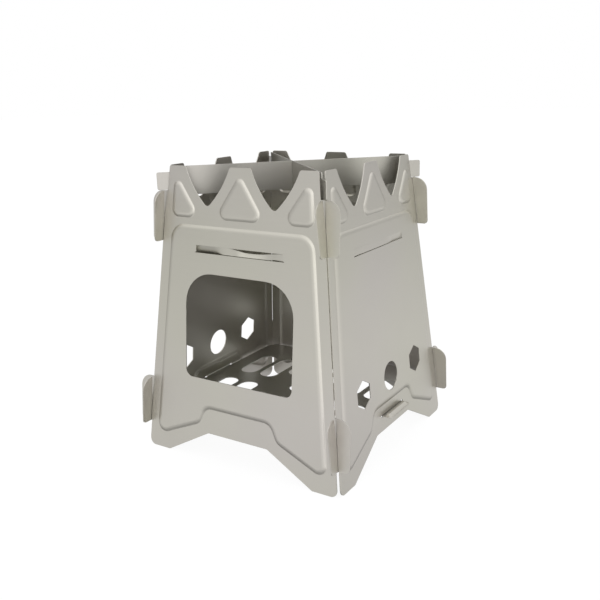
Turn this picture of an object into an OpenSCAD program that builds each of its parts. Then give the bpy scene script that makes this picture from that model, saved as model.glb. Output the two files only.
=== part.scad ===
// Folding camping wood stove: four pressed sheet panels that lean inwards, hooked together
// at their corners by slotted ears, a fire grate and two crossed pot supports.
// X runs along the front panel, Y from front to back, Z up from the ground.
// The origin is on the ground at the middle of the stove.

/* [Stove] */
// Height of the tooth tops, where a pot rests
stove_h = 175; // [172:1:182]
// Distance between opposite panels at the ground
base_w = 140; // [136:1:146]
// Distance between opposite panels at the tooth tops
top_w = 105.6; // [103:0.1:110]
// Thickness of the steel sheet
sheet = 0.6; // [0.5:0.05:0.8]
// Height of the pressed fields above the sheet
press = 1; // [0.8:0.1:1.4]
// Clearance beside a sheet that stands in a slot
fit_gap = 0.2; // [0.15:0.05:0.3]
// Clearance under a piece that rests on another
seat_gap = 0.15; // [0.1:0.05:0.3]

/* [Edges] */
// Setback of a panel edge from the corner line
edge_gap = 0.6; // [0.6:0.1:1.2]
// Setback of the feet from the corner line
foot_gap = 1.2; // [0.8:0.1:2]
// Setback of the corner teeth from the corner line
tooth_gap = 2; // [1.8:0.1:2.6]

/* [Ears] */
// Height of the lower ears' bottom edge
lower_ear_z = 15.5; // [14:0.5:18]
// Height of an ear
ear_h = 29.5; // [29:0.5:31]
// Reach of an ear past the corner line
ear_reach = 8.6; // [8:0.1:10]
// Radius of an ear's upper outer corner
ear_top_r = 7.5; // [6:0.5:8]
// Radius of an ear's lower outer corner
ear_low_r = 2.5; // [1.5:0.5:4]

/* [Feet] */
// Height of the arch between the feet
arch_h = 17; // [15:0.5:19]
// Width of the arch's flat top
arch_w = 43; // [38:1:48]
// Distance between the feet
feet_w = 105; // [100:1:110]
// Radius of a foot's outer corner
foot_r = 4; // [2:0.5:5]
// Radius of the arch's corners
arch_r = 3; // [1:0.5:5]

/* [Crown] */
// Distance from the tooth tops down to the upper ears' top edge
crown_h = 14.7; // [14:0.1:16]
// Depth of a notch between two teeth before its bottom is rounded
notch_h = 23.3; // [22:0.1:24.5]
// Width of a notch at the tooth tops
notch_w = 32.2; // [30:0.1:34]
// Width of the middle tooth's top
tooth_w = 14.2; // [12:0.1:16]
// Radius at a notch's bottom
notch_r = 3; // [1.5:0.1:3.2]
// Outward bow of a notch's sides
notch_bow = 1.7; // [1:0.1:2.2]
// Radius of the tooth corners
tooth_r = 1.8; // [1:0.1:2.5]

/* [Pressed fields] */
// Distance from the tooth tops down to the large field
field_drop = 34; // [32.5:0.5:36]
// Margin between the corner line and the large field
field_margin = 7.4; // [6.5:0.1:8.5]
// Radius of the large field's upper corners
field_r = 9; // [6:0.5:12]
// Height of the large field's lowest corners
field_foot_z = 8.5; // [7:0.5:10]
// Radius of the large field's lowest corners
field_foot_r = 5; // [3:0.5:6]
// Height of the large field's bottom edge over the arch
ledge_z = 33; // [31.5:0.5:35]
// Width of that edge
ledge_w = 47; // [43:1:50]
// Width between the field's knees above the feet
knee_w = 57; // [54:1:60]
// Height of the knees
knee_z = 22.5; // [21:0.5:24]
// Radius of the ledge's corners and of the knees
ledge_r = 7; // [4:0.5:8]
// Distance from the tooth tops down to the triangles' bases
triangle_drop = 29; // [28:0.5:30]
// Height of the triangles before their tips are rounded
triangle_h = 24.8; // [23:0.2:25]
// Base width of the middle triangle before rounding
triangle_w = 34.2; // [31:0.2:35]
// Distance between the side triangles' inner base corners
side_triangle_w = 57.4; // [56:0.2:60]
// Margin between the corner line and a side triangle
triangle_margin = 6.6; // [5.5:0.1:7.5]
// Radius of the triangles' base corners
triangle_r = 4.2; // [3:0.2:5]
// Radius of the triangles' tips
tip_r = 3; // [1.5:0.1:3.5]

/* [Door] */
// Width of the door opening
door_w = 76; // [70:1:82]
// Height of the door sill
sill_z = 50.7; // [48:0.1:53]
// Height of the strip of sheet between the door opening and the louvre slot
door_strip = 11.8; // [10:0.1:14]
// Radius of the door's upper corners
door_top_r = 19; // [12:0.5:20]
// Radius of the door's lower corners
door_low_r = 4.5; // [3:0.5:8]

/* [Louvre] */
// Width of the louvre slot near the top of each panel
louvre_w = 62; // [54:1:66]
// Height of the louvre slot
louvre_h = 4.4; // [4:0.1:5.5]
// Distance from the large field's top edge down to the louvre slot
louvre_drop = 10.8; // [9:0.1:11.5]
// Inward lean of the louvre blade from the panel
louvre_lean = 50; // [35:1:60]
// Kerf between the blade and the slot's lower edge
louvre_kerf = 0.5; // [0.3:0.1:0.8]

/* [Vents] */
// Width of the round vent and of the hexagons across their corners
vent_d = 17.5; // [15:0.1:18]
// Height of the vents' centres
vent_z = 47.3; // [46:0.1:50]
// Distance between the centres of neighbouring vents
vent_pitch = 34.6; // [30:0.1:36]

/* [Grate] */
// Height of the grate
grate_z = 26; // [25:0.5:27]
// Gap between the grate and the panels
grate_gap = 0.5; // [0.3:0.1:1]
// Width of the grate's tongues
tongue_w = 26; // [22:1:30]
// Reach of the tongues past the side panels
tongue_reach = 6.4; // [5:0.1:7]
// Radius of the tongues' corners
tongue_r = 2.5; // [1.5:0.5:4]
// Clearance at each end of a tongue in its slot
tongue_end_gap = 2; // [1:0.5:3]
// Clearance above a tongue in its slot
tongue_top_gap = 0.4; // [0.3:0.1:1.5]
// Width of the grate's slots
bar_slot_w = 12.6; // [11:0.1:13]
// Distance between the centre lines of neighbouring slots
bar_pitch = 16.2; // [15.5:0.1:17]
// Distance of the outer slots' near ends from the middle line
bar_slot_start = 6; // [5:0.5:8]
// Distance of the slots' far ends from the middle line
bar_slot_end = 41; // [38:0.5:46]
// Radius of the plain disc round the centre hole
disc_r = 17.5; // [15:0.5:20]
// Width of the centre hole
centre_hole_d = 12.6; // [10:0.1:14]
// Size of the grate's cut-off corners
grate_corner = 5; // [3:0.5:8]

/* [Pot supports] */
// Distance from the tooth tops down to the plates' top edges
support_drop = 0.9; // [0.3:0.1:2]
// Height of a pot support plate
support_h = 17; // [16:0.5:18.5]
// Distance from a plate's top edge down to its end tabs
tab_drop = 3.2; // [2.8:0.1:5]
// Reach of the end tabs past the corner line
tab_reach = 5.8; // [4:0.1:7]
// Setback of the full height plate from the corner line
support_gap = 2; // [1.8:0.1:3]
// Radius of the tabs' outer corners
tab_r = 1; // [0.5:0.1:2]

/* [Hidden] */

$fn = 48;
steel = [0.69, 0.67, 0.62];
// Steps in each rounded corner and in each notch side
corner_steps = 8;
// Length by which cuts run past what they cut
overrun = 2 * press;
// A point that is left sharp
sharp = 0;

// Lean of the panels from the vertical
lean = atan((base_w - top_w) / 2 / stove_h);
// Share of a height that a length along a leaning panel covers
rise_share = cos(lean);
function along(z) = z / rise_share;
// Half the distance between the corner lines at a height
function half_w(z) = base_w / 2 - z * tan(lean);
// Distance from the middle to the corner line along a diagonal, at a height
function corner_reach(z) = half_w(z) * sqrt(2);

slot_half = sheet / 2 + fit_gap;
upper_ear_z = stove_h - crown_h - ear_h;
notch_x = tooth_w / 2 + notch_w / 2;
field_top_z = stove_h - field_drop;
triangle_z = stove_h - triangle_drop;
louvre_z = field_top_z - louvre_drop - louvre_h;
trim = sheet * tan(lean);
// Half the grate's size, inside the panels at its height
grate_half = half_w(grate_z) - sheet - grate_gap;

function unit(v) = v / norm(v);

// The points of one corner b between a and c, rounded to radius r
function corner(a, b, c, r) =
    r <= 0 ? [b] :
    let (
        u = unit(a - b),
        w = unit(c - b),
        half = acos(u * w) / 2,
        start = b + u * r / tan(half),
        end = b + w * r / tan(half),
        middle = b + unit(u + w) * r / sin(half),
        from = atan2(start.y - middle.y, start.x - middle.x),
        to = atan2(end.y - middle.y, end.x - middle.x),
        turn = (to - from + 540) % 360 - 180
    )
    [for (i = [0 : corner_steps]) middle + r * [cos(from + turn * i / corner_steps), sin(from + turn * i / corner_steps)]];

// An outline whose rows are x, y and the corner's radius
function rounded(rows) =
    let (n = len(rows), p = [for (row = rows) [row.x, row.y]])
    [for (i = [0 : n - 1]) each corner(p[(i + n - 1) % n], p[i], p[(i + 1) % n], rows[i][2])];

// The rows of an outline drawn in from an anticlockwise one by a distance
function inset(rows, d) =
    let (n = len(rows), p = [for (row = rows) [row.x, row.y]])
    [for (i = [0 : n - 1])
        let (
            e = unit(p[i] - p[(i + n - 1) % n]),
            f = unit(p[(i + 1) % n] - p[i]),
            m = [-e.y, e.x],
            k = [-f.y, f.x],
            q = p[i] + d * (m + k) / (1 + m * k)
        )
        [q.x, q.y, max(0, rows[i][2] + (cross(e, f) > 0 ? -d : d))]];

// Rows on the right of the middle line, followed by their mirror images
function both_sides(rows) =
    concat(rows, [for (i = [len(rows) - 1 : -1 : 0]) [-rows[i].x, rows[i].y, rows[i][2]]]);

// An ear's outline rows, from its bottom edge up; under and over are the setbacks next to it
function ear_rows(z, under, over) =
    let (out = half_w(z + ear_h / 2) + ear_reach)
    [
        [half_w(z) - under, along(z), sharp],
        [out, along(z), ear_low_r],
        [out, along(z + ear_h), ear_top_r],
        [half_w(z + ear_h) - over, along(z + ear_h), sharp]
    ];

// The right side of a notch as points between the tooth's corner and the notch's bottom
function notch_side() =
    let (
        from = [notch_w / 2, 0],
        to = [0, -notch_h],
        across = unit([to.y - from.y, from.x - to.x])
    )
    [for (i = [1 : corner_steps - 1])
        let (f = i / corner_steps)
        from + (to - from) * f - across * notch_bow * 4 * f * (1 - f)];

// The rows of the crown on the right, from the corner tooth in to the middle tooth
function crown_rows() =
    let (top = along(stove_h) + trim, side = notch_side())
    concat(
        [[half_w(stove_h) - tooth_gap, top, tooth_r]],
        [[notch_x + notch_w / 2, top, tooth_r]],
        [for (p = side) [notch_x + p.x, along(stove_h) + p.y, sharp]],
        [[notch_x, along(stove_h) - notch_h, notch_r]],
        [for (i = [len(side) - 1 : -1 : 0]) [notch_x - side[i].x, along(stove_h) + side[i].y, sharp]],
        [[tooth_w / 2, top, tooth_r]]
    );

// The outline that the four panels share
panel_rows = both_sides(concat(
    [[arch_w / 2, along(arch_h), arch_r]],
    [[feet_w / 2, -trim, arch_r / 2]],
    [[half_w(0) - foot_gap, -trim, foot_r]],
    ear_rows(lower_ear_z, foot_gap, edge_gap),
    ear_rows(upper_ear_z, edge_gap, tooth_gap),
    crown_rows()
));

// The large field that follows the panel's sides and feet
field = both_sides([
    [ledge_w / 2, along(ledge_z), ledge_r],
    [knee_w / 2, along(knee_z), ledge_r],
    [half_w(field_foot_z) - field_margin, along(field_foot_z), field_foot_r],
    [half_w(field_top_z) - field_margin, along(field_top_z), field_r]
]);

middle_triangle = [
    [-triangle_w / 2, along(triangle_z), triangle_r],
    [triangle_w / 2, along(triangle_z), triangle_r],
    [0, along(triangle_z + triangle_h), tip_r]
];

right_triangle = [
    [side_triangle_w / 2, along(triangle_z), triangle_r],
    [half_w(triangle_z) - triangle_margin, along(triangle_z), triangle_r],
    [half_w(triangle_z + triangle_h) - triangle_margin, along(triangle_z + triangle_h), tip_r]
];

left_triangle = [for (i = [2 : -1 : 0]) [-right_triangle[i].x, right_triangle[i].y, right_triangle[i][2]]];

fields = [field, middle_triangle, right_triangle, left_triangle];

// A field pressed outwards: its raised skin and the wall round it
module raised(rows) {
    translate([0, 0, press - sheet / 2])
        linear_extrude(sheet)
            polygon(rounded(rows));
    translate([0, 0, -sheet / 2])
        linear_extrude(press + sheet)
            difference() {
                polygon(rounded(rows));
                polygon(rounded(inset(rows, sheet)));
            }
}

// The sheet of one panel with its pressed fields, lying in its own plane
module pressed_sheet() {
    difference() {
        translate([0, 0, -sheet / 2])
            linear_extrude(sheet)
                polygon(rounded(panel_rows));
        for (rows = fields)
            translate([0, 0, -overrun])
                linear_extrude(2 * overrun)
                    polygon(rounded(inset(rows, sheet)));
    }
    for (rows = fields)
        raised(rows);
}

// The slots of the front and back panels open downwards and follow the corner lines
module hook_slots() {
    for (z = [lower_ear_z, upper_ear_z])
        let (
            mid = z + ear_h / 2,
            low = z - overrun,
            end = along(mid + seat_gap)
        )
            both_edges()
                polygon([
                    [half_w(low) - slot_half, along(low)],
                    [half_w(low) + slot_half, along(low)],
                    [half_w(mid) + slot_half, end],
                    [half_w(mid) - slot_half, end]
                ]);
}

// The slots of the side panels open upwards; their outer edges stand upright, so that the
// leaning front and back panels can rise straight up in them
module socket_slots() {
    for (z = [lower_ear_z, upper_ear_z])
        let (
            mid = z + ear_h / 2,
            top = z + ear_h + overrun,
            outer = half_w(mid) + slot_half,
            end = along(mid - seat_gap)
        )
            both_edges()
                polygon([
                    [half_w(mid) - slot_half, end],
                    [outer, end],
                    [outer, along(top)],
                    [half_w(top) - slot_half, along(top)]
                ]);
}

module both_edges() {
    children();
    mirror([1, 0])
        children();
}

// Cuts a flat shape right through a panel
module through() {
    translate([0, 0, -overrun])
        linear_extrude(2 * overrun)
            children();
}

module louvre_slot() {
    through()
        translate([-louvre_w / 2, along(louvre_z)])
            square([louvre_w, louvre_h]);
}

// A blade bent inwards from the slot's lower edge, held by a cheek at each end
module louvre_blade() {
    blade_w = louvre_h - louvre_kerf;
    foot = along(louvre_z) + louvre_kerf;
    translate([-louvre_w / 2, foot, press])
        rotate([-louvre_lean, 0, 0])
            translate([0, 0, -sheet / 2])
                cube([louvre_w, blade_w, sheet]);
    for (x = [-louvre_w / 2, louvre_w / 2 - sheet])
        translate([x, foot, press])
            rotate([90, 0, 90])
                linear_extrude(sheet)
                    polygon([
                        [0, sheet / 2],
                        [0, -sheet / 2],
                        [blade_w * cos(louvre_lean), -blade_w * sin(louvre_lean)],
                        [blade_w, -sheet / 2],
                        [blade_w, sheet / 2]
                    ]);
}

module door_opening() {
    half = door_w / 2;
    low = along(sill_z);
    top = along(louvre_z) - door_strip;
    through()
        polygon(rounded([
            [-half, low, door_low_r],
            [half, low, door_low_r],
            [half, top, door_top_r],
            [-half, top, door_top_r]
        ]));
}

// A round vent between two hexagons
module vents() {
    through()
        translate([0, along(vent_z)]) {
            circle(d = vent_d);
            for (side = [-1, 1])
                translate([side * vent_pitch, 0])
                    rotate(30)
                        circle(d = vent_d, $fn = 6);
        }
}

// The slot in a side panel that holds a tongue of the grate
module tongue_slot() {
    half = tongue_w / 2 + tongue_end_gap;
    low = along(grate_z - sheet / 2 - 2 * seat_gap);
    through()
        translate([-half, low])
            square([2 * half, sheet + 2 * seat_gap + tongue_top_gap]);
}

// Stands a flat panel up on the side of the stove that a turn about Z gives, and trims
// its feet to the ground and its teeth to the pot's level
module stand_up(turn) {
    rotate([0, 0, turn])
        intersection() {
            translate([0, -half_w(0), 0])
                rotate([90 - lean, 0, 0])
                    children();
            translate([-base_w, -base_w, 0])
                cube([2 * base_w, base_w, stove_h]);
        }
}

module front_panel() {
    color(steel)
        stand_up(0) {
            difference() {
                pressed_sheet();
                through() hook_slots();
                louvre_slot();
                door_opening();
            }
            louvre_blade();
        }
}

module back_panel() {
    color(steel)
        stand_up(180) {
            difference() {
                pressed_sheet();
                through() hook_slots();
                louvre_slot();
                vents();
            }
            louvre_blade();
        }
}

module side_panel(turn) {
    color(steel)
        stand_up(turn) {
            difference() {
                pressed_sheet();
                through() socket_slots();
                louvre_slot();
                vents();
                tongue_slot();
            }
            louvre_blade();
        }
}

module left_panel() {
    side_panel(-90);
}

module right_panel() {
    side_panel(90);
}

// A slot with round ends, from one place along Y to another
module bar_slot(from, to) {
    r = bar_slot_w / 2;
    translate([-r, from + r])
        square([2 * r, to - from - 2 * r]);
    for (y = [from + r, to - r])
        translate([0, y])
            circle(r);
}

module grate_outline() {
    h = grate_half;
    k = grate_corner;
    out = half_w(grate_z) + tongue_reach;
    t = tongue_w / 2;
    polygon(rounded(both_sides([
        [h - k, -h, sharp],
        [h, k - h, sharp],
        [h, -t, sharp],
        [out, -t, tongue_r],
        [out, t, tongue_r],
        [h, t, sharp],
        [h, h - k, sharp],
        [h - k, h, sharp]
    ])));
}

module fire_grate() {
    color(steel)
        translate([0, 0, grate_z - sheet / 2])
            linear_extrude(sheet)
                difference() {
                    grate_outline();
                    circle(d = centre_hole_d);
                    for (i = [-3 : 3])
                        let (start = abs(i) > 1 ? bar_slot_start : disc_r)
                            translate([i * bar_pitch, 0]) {
                                bar_slot(start, bar_slot_end);
                                bar_slot(-bar_slot_end, -start);
                            }
                }
}

// A pot support plate in its own plane, with its half lap slot above or below the middle
module support_plate(slot_above) {
    top = stove_h - support_drop;
    low = top - support_h;
    tab_low = stove_h - crown_h + 2 * seat_gap;
    tab_top = top - tab_drop;
    step = corner_reach(tab_low) - support_gap;
    out = corner_reach((tab_low + tab_top) / 2) + tab_reach;
    slot_low = slot_above ? top - support_h / 2 - seat_gap : low - overrun;
    slot_top = slot_above ? top + overrun : top - support_h / 2 + seat_gap;
    rotate([90, 0, 0])
        translate([0, 0, -sheet / 2])
            linear_extrude(sheet)
                difference() {
                    polygon(rounded(both_sides([
                        [step, low, tab_r],
                        [step, tab_low, sharp],
                        [out, tab_low, tab_r],
                        [out, tab_top, tab_r],
                        [corner_reach(stove_h) - support_gap, tab_top, sharp],
                        [corner_reach(stove_h) - support_gap, top, tab_r]
                    ])));
                    translate([-slot_half, slot_low])
                        square([2 * slot_half, slot_top - slot_low]);
                }
}

module pot_support_lower() {
    color(steel)
        rotate([0, 0, 45])
            support_plate(true);
}

module pot_support_upper() {
    color(steel)
        rotate([0, 0, -45])
            support_plate(false);
}

front_panel();
back_panel();
left_panel();
right_panel();
fire_grate();
pot_support_lower();
pot_support_upper();
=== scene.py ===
# %% [markdown]
# A folding camping wood stove, dressed for its picture.
#
# The stove is a flat pack: four pressed steel panels hook together at their corners, a
# grate lies inside and two crossed plates carry the pot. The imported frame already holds
# each piece at its real size and place. The cells below give the pieces the soft forms
# that a press leaves in sheet steel, and the finish of brushed stainless.

# %% Load the frame
import math
from contextlib import contextmanager

import bmesh
import bpy
from mathutils import Matrix, Vector


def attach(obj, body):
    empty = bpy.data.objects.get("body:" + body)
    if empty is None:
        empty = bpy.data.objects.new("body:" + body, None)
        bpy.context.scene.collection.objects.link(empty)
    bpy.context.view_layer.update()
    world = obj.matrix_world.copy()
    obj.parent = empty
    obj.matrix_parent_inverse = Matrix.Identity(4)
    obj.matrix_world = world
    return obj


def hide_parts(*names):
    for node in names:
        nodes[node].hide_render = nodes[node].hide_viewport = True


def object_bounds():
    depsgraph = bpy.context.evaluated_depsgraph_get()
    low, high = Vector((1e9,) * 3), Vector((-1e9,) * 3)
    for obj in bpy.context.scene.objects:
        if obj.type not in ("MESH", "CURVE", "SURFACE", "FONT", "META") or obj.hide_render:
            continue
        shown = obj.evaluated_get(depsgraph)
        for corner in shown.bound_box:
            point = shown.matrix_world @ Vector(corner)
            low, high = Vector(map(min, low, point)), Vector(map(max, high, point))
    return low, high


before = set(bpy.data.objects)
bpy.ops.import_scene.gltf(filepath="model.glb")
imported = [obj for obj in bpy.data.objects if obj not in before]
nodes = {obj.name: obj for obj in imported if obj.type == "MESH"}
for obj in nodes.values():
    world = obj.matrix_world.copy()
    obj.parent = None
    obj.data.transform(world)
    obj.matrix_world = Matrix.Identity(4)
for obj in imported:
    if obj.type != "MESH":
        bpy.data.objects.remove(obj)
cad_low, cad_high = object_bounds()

MM = 0.001
print("nodes:", sorted(nodes))
print("CAD box in mm:", [round(v / MM, 1) for v in (cad_high - cad_low)])

# %% [markdown]
# The camera stands where the photographer stood: a little to the right of the door and
# above it. Its place is an azimuth round the stove, an elevation and a distance from a
# point that it looks at. A small roll levels the picture as the photograph has it.
# Numbers like these are found by matching known corners of the object in the picture.

# %% Camera
AIM = Vector((2.6, 0, 86.6)) * MM
AZIMUTH, ELEVATION, ROLL = (math.radians(a) for a in (32.9, 15.7, -1.56))
DISTANCE = 478.5 * MM
LENS = 45.13
SENSOR = 36
CLIP = (0.01, 100)

away = Vector((
    math.sin(AZIMUTH) * math.cos(ELEVATION),
    -math.cos(AZIMUTH) * math.cos(ELEVATION),
    math.sin(ELEVATION),
))
bpy.ops.object.camera_add(location=AIM + away * DISTANCE)
camera = bpy.context.object
camera.name = "camera"
towards = away.to_track_quat("Z", "Y").to_matrix()
camera.rotation_euler = (towards @ Matrix.Rotation(ROLL, 3, "Z")).to_euler()
camera.data.lens = LENS
camera.data.sensor_width = SENSOR
camera.data.clip_start, camera.data.clip_end = CLIP
bpy.context.scene.camera = camera
bpy.context.scene.view_settings.view_transform = "Standard"
print("camera at", [round(v, 3) for v in camera.location])

# %% [markdown]
# The stage is a white floor in a light tent. The camera sees it as pure white, with only a
# trace of the stove's shadow. Steel has no colour of its own: it shows what stands round
# it. So its reflections get a studio of their own, written as brightness by height: grey
# straight below, bright just under the horizon, dimmer above it, and bright again where
# the lamps of a tent hang. The studio is brightest behind the photographer's right
# shoulder. The floor right under the stove, where little light gets in, reflects darker.

# %% Floor and sky
PLAIN_LEVEL = 0.9
FLOOR_SIZE = 12
FLOOR_DROP = 0.05 * MM
FLOOR_GLOW = 1.03
SHADOW_SHARE = 0.08
PAPER = (0.9, 0.9, 0.9, 1)
PAPER_ROUGHNESS = 0.9
SHADED_REACH = (45 * MM, 82 * MM)
SHADED_LEVEL = 0.3
STUDIO = (
    (0.00, 0.50),
    (0.20, 0.46),
    (0.29, 0.82),
    (0.34, 1.04),
    (0.38, 1.22),
    (0.42, 0.98),
    (0.48, 0.76),
    (0.56, 0.68),
    (0.62, 0.76),
    (0.70, 1.15),
    (0.88, 1.30),
    (1.00, 0.90),
)
KEY_AZIMUTH = math.radians(49)
KEY_SHARE = 0.38


def shown_to(tree, ray, rest, special):
    """Shows one shader to a kind of ray and another to the rest."""
    path = tree.nodes.new("ShaderNodeLightPath")
    mix = tree.nodes.new("ShaderNodeMixShader")
    tree.links.new(path.outputs[ray], mix.inputs["Fac"])
    tree.links.new(rest, mix.inputs[1])
    tree.links.new(special, mix.inputs[2])
    return mix.outputs[0]


def calculated(tree, operation, *values):
    """A Math node's result from sockets and plain numbers."""
    sum_up = tree.nodes.new("ShaderNodeMath")
    sum_up.operation = operation
    for socket, value in zip(sum_up.inputs, values):
        if isinstance(value, (int, float)):
            socket.default_value = value
        else:
            tree.links.new(value, socket)
    return sum_up.outputs[0]


def measured(tree, operation, vector, *others):
    """A Vector Math node's outputs from a socket and sockets or plain vectors."""
    step = tree.nodes.new("ShaderNodeVectorMath")
    step.operation = operation
    tree.links.new(vector, step.inputs[0])
    for socket, other in zip(step.inputs[1:], others):
        if isinstance(other, tuple):
            socket.default_value = other
        else:
            tree.links.new(other, socket)
    return step.outputs


def eased(tree, value, span, low=0, high=1):
    """Goes from low to high while a value crosses a span."""
    change = tree.nodes.new("ShaderNodeMapRange")
    change.inputs["From Min"].default_value, change.inputs["From Max"].default_value = span
    change.inputs["To Min"].default_value = low
    change.inputs["To Max"].default_value = high
    tree.links.new(value, change.inputs["Value"])
    return change.outputs[0]


def background(tree, level):
    """An even white background."""
    even = tree.nodes.new("ShaderNodeBackground")
    even.inputs["Color"].default_value = (1, 1, 1, 1)
    even.inputs["Strength"].default_value = level
    return even


world = bpy.data.worlds.new("light_tent")
world.use_nodes = True
bpy.context.scene.world = world
tree = world.node_tree
place = tree.nodes.new("ShaderNodeTexCoord")
split = tree.nodes.new("ShaderNodeSeparateXYZ")
tree.links.new(place.outputs["Generated"], split.inputs[0])
ramp = tree.nodes.new("ShaderNodeValToRGB")
tree.links.new(eased(tree, split.outputs["Z"], (-1, 1)), ramp.inputs["Fac"])
brightest = max(level for _, level in STUDIO)
stops = ramp.color_ramp.elements
for at, level in STUDIO[1:-1]:
    stops.new(at)
for stop, (at, level) in zip(stops, STUDIO):
    stop.position = at
    stop.color = (level / brightest, level / brightest, level / brightest, 1)
key_side = (math.sin(KEY_AZIMUTH), -math.cos(KEY_AZIMUTH), 0)
sideways = measured(tree, "DOT_PRODUCT", place.outputs["Generated"], key_side)["Value"]
key = calculated(tree, "MULTIPLY_ADD", sideways, KEY_SHARE, 1)
studio = background(tree, brightest)
tree.links.new(calculated(tree, "MULTIPLY", key, brightest), studio.inputs["Strength"])
tree.links.new(ramp.outputs["Color"], studio.inputs["Color"])
lit = shown_to(tree, "Is Glossy Ray", background(tree, PLAIN_LEVEL).outputs[0], studio.outputs[0])
seen = shown_to(tree, "Is Camera Ray", lit, background(tree, 1).outputs[0])
tree.links.new(seen, tree.nodes["World Output"].inputs["Surface"])

bpy.ops.mesh.primitive_plane_add(size=FLOOR_SIZE, location=(0, 0, -FLOOR_DROP))
floor = bpy.context.object
floor.name = "floor"
paper = bpy.data.materials.new("white_paper")
paper.use_nodes = True
tree = paper.node_tree
matt = tree.nodes["Principled BSDF"]
matt.inputs["Base Color"].default_value = PAPER
matt.inputs["Roughness"].default_value = PAPER_ROUGHNESS
glow = tree.nodes.new("ShaderNodeEmission")
glow.inputs["Strength"].default_value = FLOOR_GLOW
shaded = tree.nodes.new("ShaderNodeMixShader")
shaded.inputs["Fac"].default_value = SHADOW_SHARE
tree.links.new(glow.outputs[0], shaded.inputs[1])
tree.links.new(matt.outputs[0], shaded.inputs[2])
place = tree.nodes.new("ShaderNodeTexCoord")
reach = measured(tree, "LENGTH", place.outputs["Object"])["Value"]
clear = tree.nodes.new("ShaderNodeBsdfTransparent")
tree.links.new(eased(tree, reach, SHADED_REACH, SHADED_LEVEL), clear.inputs["Color"])
lit = shown_to(tree, "Is Glossy Ray", matt.outputs[0], clear.outputs[0])
seen = shown_to(tree, "Is Camera Ray", lit, shaded.outputs[0])
tree.links.new(seen, tree.nodes["Material Output"].inputs["Surface"])
floor.data.materials.append(paper)
print("floor shows", SHADOW_SHARE, "of its shadow; studio levels", [level for _, level in STUDIO])

# %% [markdown]
# Two soft lamps model the pressed edges. One hangs overhead and lights every edge that
# looks up. One stands behind the camera and lights the edges that look its way. The edges
# that look down or aside stay thin and dark, which is how the eye reads relief.

# %% Lamps
LAMPS = [
    ("overhead_lamp", (0, 0, 1.6), 1.2, 4),
    ("side_lamp", (0.75, -1.36, 0.42), 1.1, 3),
]


def soft_lamp(name, place, size, power):
    """A square lamp that looks at the stove."""
    bpy.ops.object.light_add(type="AREA", location=place)
    lamp = bpy.context.object
    lamp.name = name
    lamp.data.size = size
    lamp.data.energy = power
    lamp.rotation_euler = (lamp.location - AIM).to_track_quat("Z", "Y").to_euler()
    print(name, "has size", size, "and power", power)


for settings in LAMPS:
    soft_lamp(*settings)

# %% [markdown]
# Modelling by hand in Blender means selecting a few faces and acting on them. These small
# helpers do that: one opens a piece in edit mode, one selects by a test of place or
# normal, and one adds a modifier and applies it. Two more round edges and set the shading.

# %% Helpers
MERGE = 0.002 * MM
STRAIGHT = math.radians(1)
ROUND_STEPS = 2
SMOOTH_ANGLE = math.radians(50)
FLAT_WEIGHT = 50


def only(piece):
    """Deselects everything, then selects one piece."""
    bpy.ops.object.select_all(action="DESELECT")
    piece.select_set(True)
    bpy.context.view_layer.objects.active = piece


@contextmanager
def editing(piece, mode="FACE"):
    """Opens a piece in edit mode with nothing selected."""
    only(piece)
    bpy.ops.object.mode_set(mode="EDIT")
    bpy.ops.mesh.select_mode(type=mode)
    bpy.ops.mesh.select_all(action="DESELECT")
    yield
    bpy.ops.object.mode_set(mode="OBJECT")


def pick(piece, kind, test):
    """Selects the faces, edges or verts that pass a test, and says how many did."""
    bpy.ops.mesh.select_mode(type={"faces": "FACE", "edges": "EDGE", "verts": "VERT"}[kind])
    bpy.ops.mesh.select_all(action="DESELECT")
    mesh = bmesh.from_edit_mesh(piece.data)
    found = [part for part in getattr(mesh, kind) if test(part)]
    for part in found:
        part.select_set(True)
    mesh.select_flush_mode()
    bmesh.update_edit_mesh(piece.data)
    return len(found)


def finish_with(piece, kind, **settings):
    """Adds a modifier with its settings and applies it."""
    only(piece)
    bpy.ops.object.modifier_add(type=kind)
    modifier = piece.modifiers[-1]
    for name, value in settings.items():
        setattr(modifier, name, value)
    bpy.ops.object.modifier_apply(modifier=modifier.name)


def round_edges(piece, width, angle):
    """Rounds every edge whose faces meet at more than an angle."""
    finish_with(
        piece, "BEVEL", width=width, segments=ROUND_STEPS,
        limit_method="ANGLE", angle_limit=angle,
    )


def shade(piece):
    """Shades the rounds softly and keeps the wide flats flat."""
    only(piece)
    bpy.ops.object.shade_smooth_by_angle(angle=SMOOTH_ANGLE)
    finish_with(piece, "WEIGHTED_NORMAL", keep_sharp=True, weight=FLAT_WEIGHT)


def copy_of(node, name):
    """A new piece with a merged copy of a node's mesh."""
    piece = bpy.data.objects.new(name, nodes[node].data.copy())
    piece.data.name = name
    piece.data.materials.clear()
    bpy.context.collection.objects.link(piece)
    with editing(piece):
        bpy.ops.mesh.select_all(action="SELECT")
        bpy.ops.mesh.remove_doubles(threshold=MERGE)
    return piece


# %% [markdown]
# The four panels lean inwards alike. Each is laid flat on the bench to be worked, with X
# along the panel, Y up its lean and Z outwards, and stood up again at the end.

# %% How a panel stands
STOVE_H = cad_high.z - cad_low.z
BASE_W = 140 * MM
TOP_W = 105.6 * MM
SHEET = 0.6 * MM
PRESS = 1 * MM
LEAN = math.atan((BASE_W - TOP_W) / 2 / STOVE_H)


def standing(turn):
    """Takes a flat panel to its side of the stove."""
    return (
        Matrix.Rotation(math.radians(turn), 4, "Z")
        @ Matrix.Translation((0, -BASE_W / 2, 0))
        @ Matrix.Rotation(math.pi / 2 - LEAN, 4, "X")
    )


def up_the_lean(height):
    """Where a height above the ground lies along a flat panel."""
    return height / math.cos(LEAN)


print("lean in degrees:", round(math.degrees(LEAN), 2))

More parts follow.
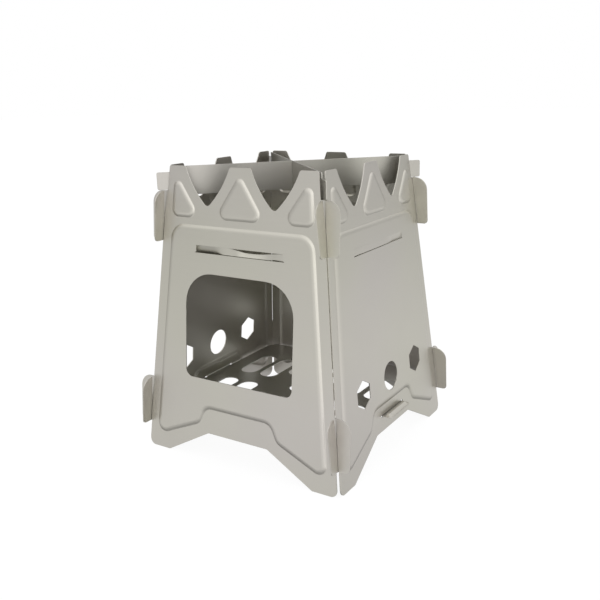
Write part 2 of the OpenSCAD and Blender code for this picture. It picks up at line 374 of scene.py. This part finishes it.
# %% [markdown]
# Each panel is blanked from 0.6 mm sheet and its fields are pressed 1 mm outwards. The
# frame has them with upright steps. A press leaves a soft ramp, so only the outer skin of
# the frame's panel is kept here, as flat patches. The patches of the fields go down to
# the level of the sheet and are sewn to it. Then each field is outset and raised, and inset
# and raised twice more, ever less steeply, which leaves a crisp foot and a soft shoulder.
# Sculpting the ramps would also work, but inset keeps the fields dead flat and the ramps
# even. A bevel rounds the ramps.

# %% Press the fields
RAMP = ((0.5 * MM, 0.38 * PRESS), (0.9 * MM, 0.4 * PRESS), (1.2 * MM, 0.22 * PRESS))
RAMP_ROUND, RAMP_ANGLE = 0.28 * MM, math.radians(7)
SEW = 5 * MERGE
LEVEL = 0.05 * MM
NEAR = 0.06 * MM
FLAT = 0.99


def at_level(face, z):
    """Whether a face looks outwards at a height above the sheet's middle."""
    return face.normal.z > FLAT and abs(face.calc_center_median().z - z) < LEVEL


def pressed_skin(node, name, turn):
    """The outer skin of a panel, laid flat, with soft ramps round its fields."""
    skin = copy_of(node, name)
    skin.data.transform(standing(turn).inverted())
    low, high = SHEET / 2, PRESS + SHEET / 2
    with editing(skin):
        pick(skin, "faces", lambda f: not (at_level(f, low) or at_level(f, high)))
        bpy.ops.mesh.delete(type="FACE")
        bpy.ops.mesh.select_all(action="SELECT")
        bpy.ops.mesh.dissolve_limited(angle_limit=STRAIGHT)
        fields = pick(skin, "faces", lambda f: at_level(f, high))
        bpy.ops.transform.translate(value=(0, 0, -PRESS))
        bpy.ops.mesh.remove_doubles(threshold=SEW, use_unselected=True)
        for stage, (run, rise) in enumerate(RAMP):
            bpy.ops.mesh.inset(thickness=run, use_boundary=False, use_outset=stage == 0)
            bpy.ops.transform.translate(value=(0, 0, rise))
    round_edges(skin, RAMP_ROUND, RAMP_ANGLE)
    print(name, "has", fields, "raised patches and", len(skin.data.vertices), "points")
    return skin


# %% [markdown]
# In the photograph the long edges of neighbouring panels almost touch between their ears.
# The solids keep a safer gap there, so each skin's edge is drawn out by a hair.

# %% Close up the edges
EDGE_GAP = 0.6 * MM
EDGE_OUT = 0.2 * MM


def close_up_edges(skin):
    """Moves the two long edges of a flat panel outwards."""
    for side in (-1, 1):
        with editing(skin):
            found = pick(skin, "verts", lambda v: abs(
                side * v.co.x + v.co.y * math.sin(LEAN) - BASE_W / 2 + EDGE_GAP
            ) < NEAR)
            bpy.ops.transform.translate(value=(side * EDGE_OUT, 0, 0))
    print(skin.name, "edge points moved on each side:", found)


# %% [markdown]
# Near the top of each panel a narrow strip is lanced free along both long edges and
# pushed inwards, so that air can pass. It stays joined at its ends. Here the slot's left
# end is extruded across it in short steps and merged with the right end, and then each
# step is pushed in. The front panel's strip is twisted. Its left end is pushed in, most of
# all at the lower edge, so it looks down and is dark. Past the middle the upper edge is
# pushed in and bows away from the slot, which opens a gap like a lens. The other panels'
# strips are shallower and keep their upper edge level, and the right panel's runs the
# other way round. A span is a start and a length, as shares of the strip's length.

# %% Lance the louvre
LOUVRE_HALF = 30.4 * MM
LOUVRE_Z = 125.8 * MM
LOUVRE_KERF = 0.5 * MM
LOUVRE_H = 4.4 * MM
LOUVRE_LOW = up_the_lean(LOUVRE_Z) + LOUVRE_KERF
LOUVRE_HIGH = up_the_lean(LOUVRE_Z) + LOUVRE_H
LOUVRE_STEPS = 38
LOUVRE_END = 0.4 * MM
LOW_DEPTH, LOW_REST, LOW_SAG = 2.3 * MM, 0.45 * MM, 0.65 * MM
HIGH_DEPTH = 0.7 * MM
LENS_DEPTH, LENS_REST, LENS_GAPE = 1.3 * MM, 0.3 * MM, 1.8 * MM
TAIL_RISE = 0.45 * MM
STRIP_DROP = 0.2 * MM
TWIST_SPAN = (0.17, 0.2)
LENS_SPAN, LENS_END, LENS_CLOSE = (0.37, 0.22), 1.02, 0.35
TAIL_SPAN, REST_CLOSE = (0.84, 0.06), 0.12


def smooth(x, start, length):
    """Eases from 0 to 1 while x covers a length from a start."""
    x = min(1, max(0, (x - start) / length))
    return x * x * (3 - 2 * x)


def strip_moves(share, gapes):
    """How far the strip's low and high edges move at a share of its length."""
    start, rest = 1 - smooth(share, *TWIST_SPAN), smooth(1 - share, 0, REST_CLOSE)
    lens = smooth(share, *LENS_SPAN) * smooth(LENS_END - share, 0, LENS_CLOSE) * gapes
    rise = TAIL_RISE * smooth(share, *TAIL_SPAN) - STRIP_DROP - LOW_SAG * start
    low_depth = LOW_DEPTH * start + LOW_REST * rest
    high_depth = HIGH_DEPTH * start * gapes + LENS_DEPTH * lens + LENS_REST * rest
    return (rise, -low_depth), (-LENS_GAPE * lens, -high_depth)


def lance_louvre(skin, depth_share, gapes, flipped):
    """Joins a pushed-in strip to the two ends of the louvre slot."""
    top = PRESS + SHEET / 2
    step = 2 * LOUVRE_HALF / LOUVRE_STEPS

    def on_edge(v, x, levels=(LOUVRE_LOW, LOUVRE_HIGH)):
        return (
            abs(v.co.x - x) < NEAR and abs(v.co.z - top) < NEAR
            and any(abs(v.co.y - y) < NEAR for y in levels)
        )

    with editing(skin, "VERT"):
        found = pick(skin, "edges", lambda e: all(on_edge(v, -LOUVRE_HALF) for v in e.verts))
        for _ in range(LOUVRE_STEPS):
            bpy.ops.mesh.extrude_region_move(TRANSFORM_OT_translate={"value": (step, 0, 0)})
        pick(skin, "verts", lambda v: on_edge(v, LOUVRE_HALF))
        bpy.ops.mesh.remove_doubles(threshold=NEAR)
        for i in range(1, LOUVRE_STEPS):
            x = -LOUVRE_HALF + i * step
            share = i / LOUVRE_STEPS
            shift = {1: LOUVRE_END - step, LOUVRE_STEPS - 1: step - LOUVRE_END}.get(i, 0)
            moves = strip_moves(1 - share if flipped else share, gapes)
            for level, (rise, back) in zip((LOUVRE_LOW, LOUVRE_HIGH), moves):
                pick(skin, "verts", lambda v: on_edge(v, x, [level]))
                bpy.ops.transform.translate(value=(shift, rise * depth_share, back * depth_share))
    print(skin.name, "louvre ends found:", found)


# %% [markdown]
# The skin becomes sheet: Solidify gives it its thickness inwards, and a fine bevel takes
# the sharpness off the blanked edges. The leaning sheet's feet would reach a hair below
# the ground, so they are pressed flat. Weighted normals keep the wide flats flat in the
# light although their rims are round.

# %% Turn the skin into sheet
RIM_ROUND, RIM_ANGLE = 0.08 * MM, math.radians(60)


def sheet_metal(skin, turn):
    """Gives a pressed skin its thickness and its rims, and stands it up."""
    finish_with(skin, "SOLIDIFY", thickness=SHEET, offset=-1, use_even_offset=True)
    round_edges(skin, RIM_ROUND, RIM_ANGLE)
    skin.data.transform(standing(turn))
    with editing(skin):
        pick(skin, "verts", lambda v: v.co.z < cad_low.z)
        bpy.ops.transform.resize(value=(1, 1, 0), center_override=(0, 0, cad_low.z))
    shade(skin)
    return skin


# %% [markdown]
# Stainless sheet for such stoves is rolled and finely brushed. Its colour is a warm grey,
# the brush leaves fine streaks, and handling leaves faint cloudy patches. Streaks are noise
# that is stretched along the brushing and squeezed across it. Clouds and patches are the
# same noise, large and round. Streaks and clouds change the roughness, streaks also make a
# fine bump, and streaks and patches change the colour by no more than a trace, as on real
# steel. Faces that look into the fire chamber also get painted shade: their colour is
# darkened to stand for the shade inside the chamber. The crown, the ears and the tongues of
# the grate lie outside it and keep their full colour, so the mask tests a point's place and
# facing.

# %% Brushed steel
GREENISH = (0.99, 1.0, 0.975)
PINKISH = (1.01, 1.0, 1.035)
LEVEL_STREAKS, GRATE_STREAKS = (60, 60, 2600), (40, 2200, 40)
STREAK_DETAIL = 4
CLOUD_SCALE, CLOUD_DETAIL = 22, 3
PATCH_SCALE, PATCH_DETAIL = 11, 1
PATCH_SPAN = (0.35, 0.65)
DARK_SHARE = 0.94
ROUGH_SPAN, ROUGHNESS = (0.7, 1.3), (0.36, 0.44)
BUMP_STRENGTH, BUMP_DEPTH = 0.025, 0.05 * MM
OUTWARD_SPAN = (0, 20 * MM)
EAR_SPAN = (BASE_W / 2 + 1.5 * MM, BASE_W / 2 + 2.5 * MM)
CROWN_SPAN = (148 * MM, 156 * MM)


def noise(tree, vector, scale, detail):
    """A Noise Texture's value at a place."""
    texture = tree.nodes.new("ShaderNodeTexNoise")
    texture.inputs["Scale"].default_value = scale
    texture.inputs["Detail"].default_value = detail
    tree.links.new(vector, texture.inputs["Vector"])
    return texture.outputs["Fac"]


def mixed(tree, share, first, second, blend="MIX"):
    """Mixes two colours, each a socket or plain values, by a share."""
    mix = tree.nodes.new("ShaderNodeMix")
    mix.data_type = "RGBA"
    mix.blend_type = blend
    for name, value in (("Factor", share), ("A", first), ("B", second)):
        if isinstance(value, (int, tuple)):
            mix.inputs[name].default_value = value
        else:
            tree.links.new(value, mix.inputs[name])
    return mix.outputs["Result"]


def unshaded_share(tree, place, inner_shade):
    """1 where the steel keeps its full colour, and the inner_shade share, a painted shade, where
    it faces the fire.
    """
    level = measured(tree, "MULTIPLY", place.outputs["Object"], (1, 1, 0))["Vector"]
    facing = measured(tree, "DOT_PRODUCT", level, place.outputs["Normal"])["Value"]
    part = tree.nodes.new("ShaderNodeSeparateXYZ")
    tree.links.new(measured(tree, "ABSOLUTE", place.outputs["Object"])["Vector"], part.inputs[0])
    widest = calculated(tree, "MAXIMUM", part.outputs["X"], part.outputs["Y"])
    at_foot = calculated(tree, "MULTIPLY_ADD", part.outputs["Z"], math.tan(LEAN), widest)
    # painted shade: faces that look into the fire chamber keep only the inner_shade share of their
    # colour
    outward = eased(tree, facing, OUTWARD_SPAN, inner_shade)
    ears = eased(tree, at_foot, EAR_SPAN, inner_shade)
    crown = eased(tree, part.outputs["Z"], CROWN_SPAN, inner_shade)
    return calculated(tree, "MAXIMUM", calculated(tree, "MAXIMUM", outward, ears), crown)


def brushed_steel(name, colour, streak_scale, inner_shade=1):
    """A metal with stretched streaks, cloudy patches and a fine bump."""
    steel = bpy.data.materials.new(name)
    steel.use_nodes = True
    tree = steel.node_tree
    shader = tree.nodes["Principled BSDF"]
    shader.inputs["Metallic"].default_value = 1
    place = tree.nodes.new("ShaderNodeTexCoord")
    along = tree.nodes.new("ShaderNodeMapping")
    along.inputs["Scale"].default_value = streak_scale
    tree.links.new(place.outputs["Object"], along.inputs["Vector"])
    streaks = noise(tree, along.outputs[0], 1, STREAK_DETAIL)
    clouds = noise(tree, place.outputs["Object"], CLOUD_SCALE, CLOUD_DETAIL)
    patches = noise(tree, place.outputs["Object"], PATCH_SCALE, PATCH_DETAIL)

    greenish, pinkish = ((*[c * g for c, g in zip(colour, hue)], 1) for hue in (GREENISH, PINKISH))
    hue = mixed(tree, eased(tree, patches, PATCH_SPAN), greenish, pinkish)
    tint = mixed(tree, 1, hue, eased(tree, streaks, (0, 1), DARK_SHARE), "MULTIPLY")
    # painted shade: the colour is darkened where the steel faces into the fire chamber
    chamber_shaded = mixed(tree, 1, tint, unshaded_share(tree, place, inner_shade), "MULTIPLY")
    tree.links.new(chamber_shaded, shader.inputs["Base Color"])

    both = calculated(tree, "ADD", streaks, clouds)
    tree.links.new(eased(tree, both, ROUGH_SPAN, *ROUGHNESS), shader.inputs["Roughness"])

    bump = tree.nodes.new("ShaderNodeBump")
    bump.inputs["Strength"].default_value = BUMP_STRENGTH
    bump.inputs["Distance"].default_value = BUMP_DEPTH
    tree.links.new(streaks, bump.inputs["Height"])
    tree.links.new(bump.outputs[0], shader.inputs["Normal"])
    return steel


PANEL_GREY = (0.553, 0.534, 0.482)
SUPPORT_GREY = (0.45, 0.435, 0.392)
# the inner_shade shares are painted shade on faces inside the fire chamber, strongest on the grate
panel_steel = brushed_steel("panel_steel_brushed", PANEL_GREY, LEVEL_STREAKS, inner_shade=0.9)
grate_steel = brushed_steel("grate_steel_brushed", PANEL_GREY, GRATE_STREAKS, inner_shade=0.7)
support_steel = brushed_steel("support_steel_brushed", SUPPORT_GREY, LEVEL_STREAKS)
print("materials:", [m.name for m in bpy.data.materials if "brushed" in m.name])

# %% [markdown]
# All four panels go through the same steps. A row of the table names the frame's node, the
# finished piece, its turn about the middle of the stove, the body that it rides on, and how
# its louvre is pushed in: a share of the full depth, whether it gapes, and whether it runs
# the other way round.

# %% Make the four panels
SHALLOW = 0.4
PANELS = [
    ("front_panel", "front_sheet", 0, "front", (1, 1, False)),
    ("back_panel", "back_sheet", 180, "back", (SHALLOW, 0, False)),
    ("left_panel", "left_sheet", -90, "left", (SHALLOW, 0, False)),
    ("right_panel", "right_sheet", 90, "right", (SHALLOW, 0, True)),
]
for node, name, turn, body, louvre in PANELS:
    skin = pressed_skin(node, name, turn)
    close_up_edges(skin)
    lance_louvre(skin, *louvre)
    panel = sheet_metal(skin, turn)
    panel.data.materials.append(panel_steel)
    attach(panel, body)
    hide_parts(node)
    print(name, "has", len(panel.data.polygons), "faces")

# %% [markdown]
# The grate and the pot supports are flat blanks. Their frame solids have the right shape
# already, so a copy only gets the tiny round that blanking leaves on its edges. Each tongue
# of the grate is bossed outside the panel. Insets raise a soft island on it, which is set
# towards the panel, so that its outer slope is wide and catches the light.

# %% Grate and pot supports
TONGUE_X = 68.6 * MM
BOSS_MARGIN = 0.7 * MM
BOSS_SIDE, BOSS_RISE = 1.3 * MM, 1.1 * MM
BOSS_SHIFT = 0.6 * MM
CROWN_SIDE, CROWN_RISE = 0.3 * MM, 0.06 * MM


def boss_tongue(plate, side):
    """Raises a soft island on the tongue at one side of the grate."""
    with editing(plate):
        bpy.ops.mesh.select_all(action="SELECT")
        bpy.ops.mesh.bisect(plane_co=(side * TONGUE_X, 0, 0), plane_no=(1, 0, 0))
        found = pick(plate, "faces", lambda f: (
            f.normal.z > FLAT and side * f.calc_center_median().x > TONGUE_X
        ))
        bpy.ops.mesh.inset(thickness=BOSS_MARGIN)
        bpy.ops.mesh.inset(thickness=BOSS_SIDE)
        bpy.ops.transform.translate(value=(-side * BOSS_SHIFT, 0, BOSS_RISE))
        bpy.ops.mesh.inset(thickness=CROWN_SIDE)
        bpy.ops.transform.translate(value=(0, 0, CROWN_RISE))
    print(plate.name, "tongue faces bossed:", found)


PLATES = [
    ("fire_grate", "grate_plate", "grate", "grate_steel", grate_steel),
    ("pot_support_lower", "lower_support_plate", "lower_support", "support_steel", support_steel),
    ("pot_support_upper", "upper_support_plate", "upper_support", "support_steel", support_steel),
]
for node, name, body, slot, steel in PLATES:
    plate = copy_of(node, name)
    with editing(plate):
        bpy.ops.mesh.select_all(action="SELECT")
        bpy.ops.mesh.dissolve_limited(angle_limit=STRAIGHT)
    if node == "fire_grate":
        boss_tongue(plate, 1)
        boss_tongue(plate, -1)
    round_edges(plate, RIM_ROUND, RIM_ANGLE)
    shade(plate)
    plate.data.materials.append(steel)
    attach(plate, body)
    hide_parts(node)
    print(name, "has", len(plate.data.polygons), "faces")
